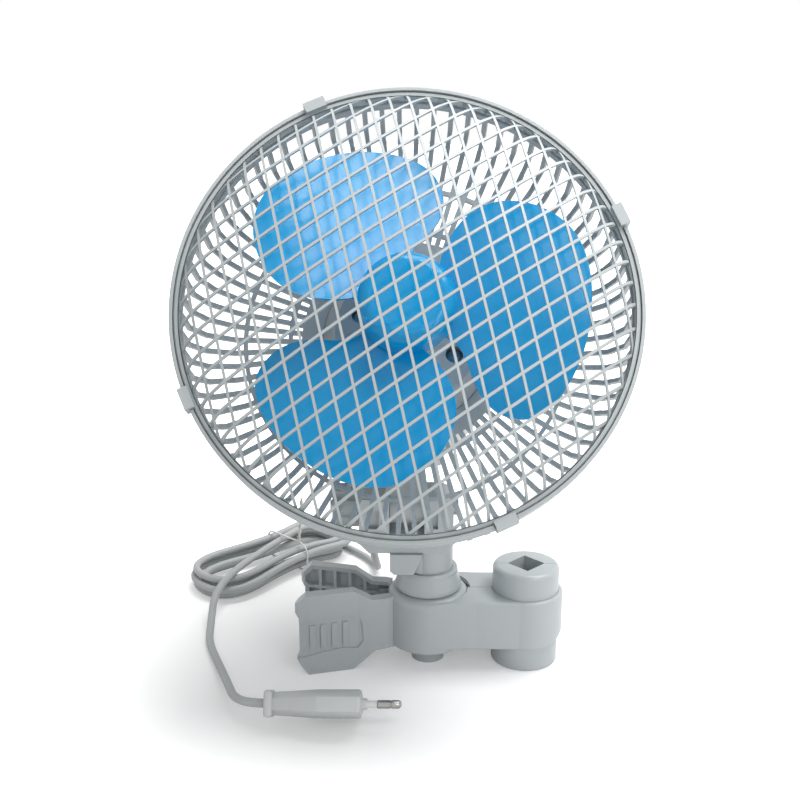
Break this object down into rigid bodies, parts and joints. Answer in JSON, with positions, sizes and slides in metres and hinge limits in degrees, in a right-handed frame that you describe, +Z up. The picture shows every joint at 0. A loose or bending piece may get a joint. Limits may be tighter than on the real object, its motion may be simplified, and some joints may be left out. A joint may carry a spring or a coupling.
{
  "type": "clip fan",
  "caption": "Grey clip fan with a round lattice guard, blue blades, tilting neck and a squeeze clamp with a square pole channel, cord tied in a hank beside it.",
  "frame": {"origin": "on the floor under the clamp hinge, in the middle of the foot", "axes": "+X towards the pole grips, -Y towards the front of the fan, +Z up"},
  "size_m": [0.2327, 0.255, 0.2903],
  "materials": {
    "body_plastic": "light grey moulded plastic, fine satin",
    "grip_plastic": "light grey plastic, slight gloss",
    "guard_plastic": "light grey moulded plastic",
    "blade_plastic": "sky blue glossy plastic",
    "knob_plastic": "grey plastic",
    "gear_plastic": "natural white plastic",
    "steel": "plain steel",
    "laminations": "stacked sheet steel",
    "copper": "varnished copper wire",
    "cord_sheath": "light grey flexible sheath",
    "tie_wire": "white plastic over wire",
    "pin_metal": "nickel plated",
    "sealed_switch": "black plastic"
  },
  "bodies": {
    "base": {"front_jaw": "body_plastic", "front_grip": "grip_plastic", "hinge_pin": "steel", "torsion_spring": "steel", "neck_collar": "grip_plastic", "neck_post": "body_plastic", "cord_gland": "body_plastic", "strain_relief": "cord_sheath", "tilt_bolt": "steel", "cord_plug_run": "cord_sheath", "cord_hank": "cord_sheath", "cord_gland_run": "cord_sheath", "twist_tie": "tie_wire", "plug_body": "cord_sheath", "plug_pin_1": "pin_metal", "plug_pin_2": "pin_metal"},
    "rear_clamp": {"rear_jaw": "body_plastic", "rear_grip": "grip_plastic"},
    "tilt_knob": {"tilt_knob": "knob_plastic"},
    "neck": {"neck_block": "body_plastic", "pivot_pin": "steel"},
    "head": {"front_guard": "guard_plastic", "rear_guard": "guard_plastic", "motor_housing_front": "body_plastic", "housing_screw_1": "steel", "housing_screw_2": "steel", "motor_housing_rear": "body_plastic", "front_bracket": "steel", "rear_bracket": "steel", "stator_core": "laminations", "stator_coil": "copper", "gear_plate": "steel", "switch_body": "sealed_switch"},
    "rotor": {"motor_shaft": "steel", "rotor_core": "laminations", "worm": "gear_plastic", "impeller": "blade_plastic"},
    "cluster": {"cluster_gear": "gear_plastic"},
    "output": {"output_gear": "gear_plastic"},
    "link": {"link_arm": "steel"},
    "clutch": {"clutch_knob": "knob_plastic"},
    "speed": {"speed_knob": "knob_plastic"}
  },
  "joints": [
    {"name": "jaw_open", "type": "hinge", "parent": "base", "child": "rear_clamp", "pos_m": [0, 0, 0.027], "axis": [0, 0, 1], "range_deg": [0, 18], "stiffness_Nm_per_rad": 0.6, "springref_deg": -34.38, "deforming": ["torsion_spring"]},
    {"name": "tilt_knob_turn", "type": "hinge", "parent": "base", "child": "tilt_knob", "pos_m": [-0.042, 0, 0.085], "axis": [1, 0, 0], "range_deg": [-90, 180]},
    {"name": "head_tilt", "type": "hinge", "parent": "base", "child": "neck", "pos_m": [-0.011, 0, 0.085], "axis": [-1, 0, 0], "range_deg": [-45, 30]},
    {"name": "oscillate", "type": "hinge", "parent": "neck", "child": "head", "pos_m": [-0.011, 0.017, 0.11444], "axis": [0, 0.5, 0.866], "range_deg": [-20, 20]},
    {"name": "fan_spin", "type": "hinge", "parent": "head", "child": "rotor", "pos_m": [-0.011, -0.04787, 0.19809], "axis": [0, -0.866, 0.5], "continuous": true},
    {"name": "cluster_spin", "type": "hinge", "parent": "head", "child": "cluster", "pos_m": [-0.0238, 0.04239, 0.13443], "axis": [0, 0.5, 0.866], "continuous": true},
    {"name": "crank_turn", "type": "hinge", "parent": "head", "child": "output", "pos_m": [-0.00255, 0.04095, 0.11794], "axis": [0, 0.5, 0.866], "range_deg": [-36.5, 36.5]},
    {"name": "link_pivot", "type": "hinge", "parent": "neck", "child": "link", "pos_m": [0.008, 0.021, 0.12137], "axis": [0, 0.5, 0.866], "range_deg": [-20.5, 20.5]},
    {"name": "clutch_pull", "type": "slide", "parent": "head", "child": "clutch", "axis": [0, 0.5, 0.866], "range_m": [0, 0.004]},
    {"name": "speed_turn", "type": "hinge", "parent": "head", "child": "speed", "pos_m": [-0.007, 0.08611, 0.14614], "axis": [0, -0.866, 0.5], "range_deg": [0, 90]}
  ],
  "couplings": [
    {"joint": "cluster_spin", "follows": "fan_spin", "ratio": 0.041667},
    {"joint": "crank_turn", "follows": "oscillate", "ratio": -1.8106},
    {"joint": "link_pivot", "follows": "oscillate", "ratio": 1}
  ]
}
